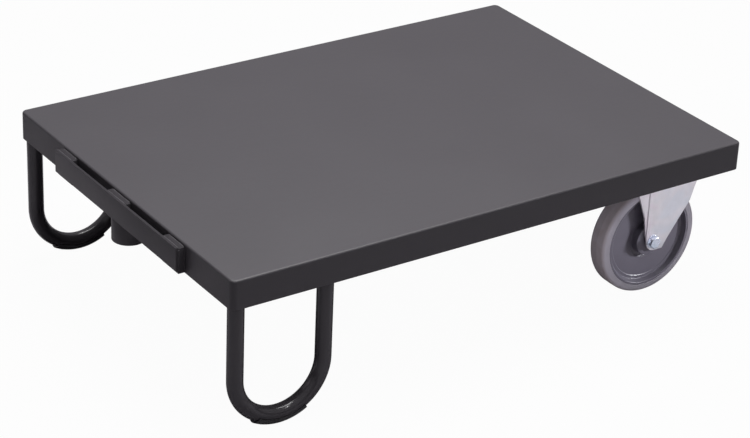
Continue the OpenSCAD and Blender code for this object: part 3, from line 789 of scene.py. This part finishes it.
def mesh_of_rings(name, ring_sets, looped=False):
    """A mesh of tubes, each through a set of equal rings, with flat ends or looped on itself."""
    points, faces = [], []
    for rings in ring_sets:
        first, count = len(points), len(rings[0])
        for ring in rings:
            points.extend(ring)
        for j in range(len(rings) if looped else len(rings) - 1):
            row = first + j * count
            above = first + (j + 1) % len(rings) * count
            for i in range(count):
                k = (i + 1) % count
                faces.append((row + i, row + k, above + k, above + i))
        if not looped:
            last = first + (len(rings) - 1) * count
            faces.append(tuple(reversed(range(first, first + count))))
            faces.append(tuple(range(last, last + count)))
    mesh = bpy.data.meshes.new(name)
    mesh.from_pydata(points, [], faces)
    tidy = bmesh.new()
    tidy.from_mesh(mesh)
    bmesh.ops.recalc_face_normals(tidy, faces=tidy.faces)
    tidy.to_mesh(mesh)
    tidy.free()
    return mesh


def four_corner_tree():
    """Sets the input at the four corners of a level rectangle, each turned by its own angle."""
    tree, given, result = geometry_tree("four_corners", [
        ("Centre", "NodeSocketVector", (0, 0, 0)), ("Length", "NodeSocketFloat", 0.1),
        ("Width", "NodeSocketFloat", 0.1), ("Seed", "NodeSocketInt", 3),
        ("Material", "NodeSocketMaterial", None)])
    corners = add(tree, "GeometryNodeMeshGrid", {
        "Size X": given.outputs["Length"], "Size Y": given.outputs["Width"],
        "Vertices X": 2, "Vertices Y": 2})
    placed = add(tree, "GeometryNodeTransform", {
        "Geometry": corners.outputs[0], "Translation": given.outputs["Centre"]})
    angle = add(tree, "FunctionNodeRandomValue", data_type="FLOAT")
    angle.inputs[2].default_value, angle.inputs[3].default_value = 0.0, math.pi / 3
    tree.links.new(given.outputs["Seed"], angle.inputs["Seed"])
    euler = add(tree, "ShaderNodeCombineXYZ", {"Z": angle.outputs[1]})
    turned = add(tree, "FunctionNodeEulerToRotation", {0: euler.outputs[0]})
    set_out = add(tree, "GeometryNodeInstanceOnPoints", {
        "Points": placed.outputs[0], "Instance": given.outputs["Geometry"],
        "Rotation": turned.outputs[0]})
    real = add(tree, "GeometryNodeRealizeInstances", {"Geometry": set_out.outputs[0]})
    plated = add(tree, "GeometryNodeSetMaterial", {
        "Geometry": real.outputs[0], "Material": given.outputs["Material"]})
    tree.links.new(plated.outputs[0], result.inputs[0])
    return tree


FOUR_CORNERS = four_corner_tree()
M10_ACROSS = 0.017
M10_HEAD = 0.0064
M10_RADIUS = 0.005
M10_WASHER_RADIUS = 0.010
M10_POINT = 0.82
SUNK = 0.0005
for seed, side in enumerate(("left", "right")):
    low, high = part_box(side + "_plate_bolts")
    washer_low, washer_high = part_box(side + "_plate_washers")
    spacing_x = (washer_high.x - washer_low.x) - 2 * M10_WASHER_RADIUS
    spacing_y = (washer_high.y - washer_low.y) - 2 * M10_WASHER_RADIUS
    tip = high.z - low.z - M10_HEAD
    shank = [round_ring(M10_RADIUS, -SUNK), round_ring(M10_RADIUS, tip - 0.001),
             round_ring(M10_RADIUS * M10_POINT, tip)]
    one_bolt = mesh_of_rings(
        "one_bolt", [turned_over(hex_rings(M10_ACROSS, M10_HEAD)), shank])
    middle = (washer_low + washer_high) / 2
    bolts = grown(side + "_hexagon_bolts", one_bolt, FOUR_CORNERS, **{
        "Centre": (middle.x, middle.y, washer_low.z), "Length": spacing_x, "Width": spacing_y,
        "Seed": 3 + seed, "Material": fastener_zinc})
    finish_mesh(bolts, 24)
    set_of_bolts = place_piece(side + "_hexagon_bolts", bolts, fastener_zinc, "chassis",
                               "zinc_fastener")
    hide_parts(side + "_plate_bolts")
    dressed(side + "_plate_washers", fastener_zinc, "chassis", "zinc_fastener", ease=0.0003)
    dressed(side + "_weld_nuts", fastener_zinc, "chassis", "zinc_fastener", ease=0.0006)

# ---- Axle ----
# An M12 bolt runs through both legs from the outside, with a washer under its head and another
# under the nut inboard. It clamps a steel sleeve, on which a caged roller bearing turns.
M12_ACROSS = 0.019
M12_RADIUS = 0.006
M12_PITCH = 0.00175
THREAD_LEAD = 0.006
LAP = 0.0002
NUT_SLACK = 0.00005
HEAD_TURN = Matrix.Rotation(math.radians(12), 4, "Z")


def along_axle(mesh, side, y):
    """Turns a mesh made along +Z to point outboard, with its foot at y on this side's axle."""
    sign = -1 if side == "left" else 1
    low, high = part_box(side + "_axle_bolt")
    centre = Vector(((low.x + high.x) / 2, y, (low.z + high.z) / 2))
    out = Matrix(((1, 0, 0), (0, 0, sign), (0, -sign, 0))).to_4x4()
    mesh.transform(Matrix.Translation(centre) @ out)
    return mesh


for side in ("left", "right"):
    sign = -1 if side == "left" else 1
    washer_low, washer_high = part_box(side + "_axle_washers")
    bolt_low, bolt_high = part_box(side + "_axle_bolt")
    nut_low, nut_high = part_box(side + "_axle_nut")
    outer_y = washer_high.y if sign > 0 else washer_low.y
    head_high = abs((bolt_high.y if sign > 0 else bolt_low.y) - outer_y)
    tail_y = bolt_low.y if sign > 0 else bolt_high.y
    length = abs(outer_y - tail_y)
    nut_length = nut_high.y - nut_low.y
    thread = nut_length + THREAD_LEAD
    head = [[HEAD_TURN @ point for point in ring] for ring in hex_rings(M12_ACROSS, head_high)]
    plain = [round_ring(M12_RADIUS, z, 48) for z in (SUNK, thread - length)]
    tail = turned_over(thread_rings(M12_RADIUS, M12_PITCH, length - thread - LAP, thread + LAP))
    bolt_mesh = along_axle(mesh_of_rings(side + "_axle_bolt_turned", [head, plain, tail]),
                           side, outer_y)
    finish_mesh(bolt_mesh, 24)
    turned_bolt = place_piece(side + "_axle_bolt_turned", bolt_mesh, fastener_zinc, "chassis",
                              "zinc_fastener")
    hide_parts(side + "_axle_bolt")
    nut_rings = hex_rings(M12_ACROSS, nut_length)
    nut_rings[0] = [point * CHAMFER_SHARE for point in nut_rings[0]]
    seat_y = nut_low.y if sign < 0 else nut_high.y
    bore = [round_ring(M12_RADIUS + NUT_SLACK, z, HEX_STEPS) for z in (-nut_length, 0)]
    nut_mesh = mesh_of_rings(
        side + "_axle_nut_turned", [turned_over(nut_rings) + bore], looped=True)
    along_axle(nut_mesh, side, seat_y)
    finish_mesh(nut_mesh, 24)
    turned_nut = place_piece(side + "_axle_nut_turned", nut_mesh, fastener_zinc, "chassis",
                             "zinc_fastener")
    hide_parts(side + "_axle_nut")
    dressed(side + "_axle_washers", fastener_zinc, "chassis", "zinc_fastener", ease=0.0003)

bright_steel = plated_steel("bright_steel", (0.72, 0.72, 0.74, 1), 0.16, 1.0, tint=0.0)
cage_plastic = moulded_plastic("cage_plastic", (0.09, 0.10, 0.06, 1), 0.45, 0.0006)
for side in ("left", "right"):
    for part, material, slot_name, body in (
            ("_axle_sleeve", bright_steel, "bright_steel", "chassis"),
            ("_hub_rollers", bright_steel, "bright_steel", side + "_wheel"),
            ("_roller_cage", cage_plastic, "cage_plastic", side + "_wheel")):
        dressed(side + part, material, body, slot_name, ease=0.0002)

# ---- Wheel centres ----
# Moulded in dark glass-filled nylon: a dished disc with a smooth outboard face, a hub boss inside a
# groove, and twelve ribs inboard. The rim has a flat lip beside the tyre.


def rounded_outline(corners, steps=6):
    """The closed outline through corners, each (radius, distance, rounding), with round turns."""
    outline = []
    count = len(corners)
    for i, (r, y, rounding) in enumerate(corners):
        here = Vector((r, y))
        back = (Vector(corners[i - 1][:2]) - here).normalized()
        ahead = (Vector(corners[(i + 1) % count][:2]) - here).normalized()
        half = back.angle(ahead) / 2
        if rounding <= 0 or half > math.radians(88):
            outline.append(here)
            continue
        centre = here + (back + ahead).normalized() * rounding / math.sin(half)
        start = here + back * rounding / math.tan(half) - centre
        end = here + ahead * rounding / math.tan(half) - centre
        sweep = start.angle_signed(end)
        for s in range(steps + 1):
            angle = -sweep * s / steps
            outline.append(centre + Vector((
                start.x * math.cos(angle) - start.y * math.sin(angle),
                start.x * math.sin(angle) + start.y * math.cos(angle))))
    return outline


def lathe(name, outline, centre, sign, segments):
    """Revolves a closed outline of (radius, outboard distance) about the axle through centre."""
    angles = (math.tau * (j + 0.5) / segments for j in range(segments))
    rings = [[(centre.x + r * math.cos(a), centre.y + sign * y, centre.z + r * math.sin(a))
              for r, y in outline] for a in angles]
    return mesh_of_rings(name, [rings], looped=True)


def round_axle_tree():
    """Repeats the input round an axle along Y through Centre."""
    tree, given, result = geometry_tree("round_axle", [
        ("Centre", "NodeSocketVector", (0, 0, 0)), ("Count", "NodeSocketInt", 12),
        ("First Angle", "NodeSocketFloat", 0.0), ("Material", "NodeSocketMaterial", None)])
    spots = add(tree, "GeometryNodeMeshLine", {
        "Count": given.outputs["Count"], "Start Location": given.outputs["Centre"],
        "Offset": (0, 0, 0)})
    index = add(tree, "GeometryNodeInputIndex")
    share = add(tree, "ShaderNodeMath", {
        0: index.outputs[0], 1: given.outputs["Count"]}, operation="DIVIDE")
    angle = add(tree, "ShaderNodeMath", {
        0: share.outputs[0], 1: math.tau, 2: given.outputs["First Angle"]},
        operation="MULTIPLY_ADD")
    euler = add(tree, "ShaderNodeCombineXYZ", {"Y": angle.outputs[0]})
    turned = add(tree, "FunctionNodeEulerToRotation", {0: euler.outputs[0]})
    set_out = add(tree, "GeometryNodeInstanceOnPoints", {
        "Points": spots.outputs[0], "Instance": given.outputs["Geometry"],
        "Rotation": turned.outputs[0]})
    real = add(tree, "GeometryNodeRealizeInstances", {"Geometry": set_out.outputs[0]})
    moulded = add(tree, "GeometryNodeSetMaterial", {
        "Geometry": real.outputs[0], "Material": given.outputs["Material"]})
    tree.links.new(moulded.outputs[0], result.inputs[0])
    return tree


def axle_group():
    """Distance of a point from the axle, which runs along Y through Axle X and Axle Z."""
    tree, given, result = shader_group(
        "from_axle",
        [("Axle X", "NodeSocketFloat", 0.0), ("Axle Z", "NodeSocketFloat", 0.0)],
        [("Distance", "NodeSocketFloat")])
    where = add(tree, "ShaderNodeTexCoord")
    parts = add(tree, "ShaderNodeSeparateXYZ", {0: where.outputs["Object"]})
    x = add(tree, "ShaderNodeMath", {
        0: parts.outputs["X"], 1: given.outputs["Axle X"]}, operation="SUBTRACT")
    z = add(tree, "ShaderNodeMath", {
        0: parts.outputs["Z"], 1: given.outputs["Axle Z"]}, operation="SUBTRACT")
    arm = add(tree, "ShaderNodeCombineXYZ", {"X": x.outputs[0], "Y": z.outputs[0]})
    reach = add(tree, "ShaderNodeVectorMath", {0: arm.outputs[0]}, operation="LENGTH")
    tree.links.new(reach.outputs["Value"], result.inputs["Distance"])
    return tree


ROUND_AXLE = round_axle_tree()
FROM_AXLE = axle_group()
HUB_BORE = 0.0107
NOSE = 0.0127
HUB_HALF = 0.0245
BOSS_HALF = 0.022
BOSS = 0.029
DISC_FACE = 0.011
DISC_BACK = 0.004
DISC_EDGE = 0.078
LIP = 0.082
BOND = 0.086
RIM_HALF = 0.019
KEY = 0.083
KEY_HALF = 0.008
STEP_RING = 0.0715
STEP = 0.0009
GROOVE = 0.036
GROOVE_DEPTH = 0.003
RIB_COUNT = 12
RIB_HALF = 0.002
nylon = moulded_plastic("wheel_nylon", (0.118, 0.109, 0.137, 1), 0.34, 0.0011, fade=0.2)
centre_corners = (
    (HUB_BORE, -HUB_HALF, 0.0003), (NOSE, -HUB_HALF, 0.0005), (NOSE, -BOSS_HALF, 0.0004),
    (BOSS, -BOSS_HALF, 0.0012), (BOSS, DISC_BACK, 0.0015),
    (DISC_EDGE, DISC_BACK, 0.0015), (DISC_EDGE, -DISC_FACE, 0.0012), (LIP, -RIM_HALF, 0.0009),
    (BOND, -RIM_HALF, 0.0004), (BOND, -KEY_HALF, 0.0), (KEY, -KEY_HALF, 0.0),
    (KEY, KEY_HALF, 0.0), (BOND, KEY_HALF, 0.0), (BOND, RIM_HALF, 0.0004),
    (LIP, RIM_HALF, 0.0011), (DISC_EDGE, DISC_FACE, 0.0014),
    (STEP_RING + 0.0012, DISC_FACE, 0.0008), (STEP_RING, DISC_FACE - STEP, 0.0008),
    (GROOVE, DISC_FACE - STEP, 0.0009),
    (GROOVE, DISC_FACE - GROOVE_DEPTH, 0.0009), (BOSS, DISC_FACE - GROOVE_DEPTH, 0.0009),
    (BOSS, BOSS_HALF, 0.0014), (NOSE, BOSS_HALF, 0.0004), (NOSE, HUB_HALF, 0.0005),
    (HUB_BORE, HUB_HALF, 0.0003),
)
for side in ("left", "right"):
    sign = -1 if side == "left" else 1
    low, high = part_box(side + "_tyre")
    hub = (low + high) / 2
    centre_mesh = lathe(side + "_wheel_disc", rounded_outline(centre_corners), hub, sign, 160)
    finish_mesh(centre_mesh, 30)
    disc = place_piece(side + "_wheel_disc", centre_mesh, nylon, side + "_wheel", "wheel_plastic")
    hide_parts(side + "_wheel_centre")
    rib_shape = bmesh.new()
    bmesh.ops.create_cube(rib_shape, size=1)
    rib_low = (BOSS - 0.001, -0.010, -RIB_HALF)
    rib_high = (DISC_EDGE + 0.001, 0.0045, RIB_HALF)
    for vert in rib_shape.verts:
        vert.co = Vector([(a if c < 0 else b) for a, b, c in zip(rib_low, rib_high, vert.co)])
        vert.co.y *= sign
    bmesh.ops.recalc_face_normals(rib_shape, faces=rib_shape.faces)
    soft_rib = eased(rib_shape, "soft_rib", 0.0008)
    ribs = grown(side + "_wheel_ribs", soft_rib, ROUND_AXLE, **{
        "Centre": hub, "Count": RIB_COUNT, "First Angle": math.pi / RIB_COUNT,
        "Material": nylon})
    finish_mesh(ribs, 30)
    place_piece(side + "_wheel_ribs", ribs, nylon, side + "_wheel", "wheel_plastic")

# ---- Tyres ----
# Grey solid rubber, moulded round the rim and keyed into it. The shoulders are rounded, the tread
# is slightly crowned and patchily browner and darker, with a fine mould flash line round its
# middle.
TREAD = 0.100
TREAD_HALF = 0.020
TREAD_CROWN = 0.0003
SHOULDER = 0.008
FLASH = 0.00012
FLASH_HALF = 0.0007


def tyre_rubber(axle):
    """Grey rubber: mottled, paler on the sides and brown-grey in patches on the tread."""
    material, output = blank_material("tyre_rubber")
    tree = material.node_tree
    clouds = put(tree, MOTTLE, Colour=(0.52, 0.50, 0.56, 1), Size=0.02, Amount=0.14)
    specks = put(tree, MOTTLE, Colour=clouds.outputs["Colour"], Size=0.0015, Amount=0.12)
    arm = put(tree, FROM_AXLE, **{"Axle X": axle.x, "Axle Z": axle.z})
    tread = add(tree, "ShaderNodeMapRange", {
        "Value": arm.outputs["Distance"], "From Min": 0.0955, "From Max": 0.0995})
    where = add(tree, "ShaderNodeTexCoord")
    tread_patch_noise = add(tree, "ShaderNodeTexNoise", {
        "Vector": where.outputs["Object"], "Scale": 60.0, "Detail": 5.0, "Roughness": 0.6})
    patch_mask = add(tree, "ShaderNodeMapRange", {
        "Value": tread_patch_noise.outputs["Fac"], "From Min": 0.3, "From Max": 0.65,
        "To Min": 0.45, "To Max": 0.9})
    tread_tone = add(tree, "ShaderNodeMath", {
        0: tread.outputs[0], 1: patch_mask.outputs[0]}, operation="MULTIPLY")
    # The tread turns browner and darker, in patches.
    colour = add(tree, "ShaderNodeMix", {
        0: tread_tone.outputs[0], 6: specks.outputs["Colour"], 7: (0.40, 0.345, 0.36, 1)},
        data_type="RGBA")
    skin = put(tree, SKIN, Size=0.0012, Depth=1.0)
    bump = add(tree, "ShaderNodeBump", {
        "Height": skin.outputs["Height"], "Strength": 0.14, "Distance": 0.0003})
    surface = add(tree, "ShaderNodeBsdfPrincipled", {
        "Base Color": colour.outputs[2], "Roughness": 0.62, "Normal": bump.outputs[0],
        "Specular IOR Level": 0.35})
    tree.links.new(surface.outputs[0], output.inputs["Surface"])
    return material


tyre_corners = (
    (BOND, -TREAD_HALF, 0.0006), (TREAD - TREAD_CROWN, -TREAD_HALF, SHOULDER),
    (TREAD, -FLASH_HALF, 0.0), (TREAD + FLASH, 0.0, 0.0), (TREAD, FLASH_HALF, 0.0),
    (TREAD - TREAD_CROWN, TREAD_HALF, SHOULDER), (BOND, TREAD_HALF, 0.0006),
    (BOND, KEY_HALF, 0.0), (KEY, KEY_HALF, 0.0), (KEY, -KEY_HALF, 0.0), (BOND, -KEY_HALF, 0.0),
)
rubber = None
for side in ("left", "right"):
    sign = -1 if side == "left" else 1
    low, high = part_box(side + "_tyre")
    hub = (low + high) / 2
    rubber = rubber or tyre_rubber(hub)
    tyre_mesh = lathe(side + "_tyre_moulded", rounded_outline(tyre_corners, 10), hub, sign, 200)
    finish_mesh(tyre_mesh, 30)
    moulded = place_piece(side + "_tyre_moulded", tyre_mesh, rubber, side + "_wheel",
                          "tyre_rubber")
    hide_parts(side + "_tyre")

# ---- Castor lamps ----
# Three small flagged lamps open up the castors below the deck: one throws the fork's shadow across
# the wheel, one lights the fork from its front right, and one shows the tread from the left.
WHEEL_POINT = (0.38, -0.29, 0.1)
for flagged, lit in (
        (lamp("wheel_key", (2.2, -1.7, 0.7), WHEEL_POINT, 0.3, 0.3, 58, (0.96, 0.97, 1)),
         ("_wheel_", "_axle_b", "_axle_w")),
        (lamp("fork_key", (1.3, -2.5, 0.6), WHEEL_POINT, 0.5, 0.5, 17, (1, 0.99, 1)),
         ("_fork", "_castor", "_hexagon", "_plate_washers")),
        (lamp("tread_fill", (-1.5, -1.9, 0.5), WHEEL_POINT, 0.7, 0.4, 12, (1, 0.97, 1)),
         ("_tyre", "_axle"))):
    lit_set = bpy.data.collections.new(flagged.name + "_set")
    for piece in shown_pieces():
        if any(word in piece.name for word in lit):
            lit_set.objects.link(piece)
    flagged.light_linking.receiver_collection = lit_set
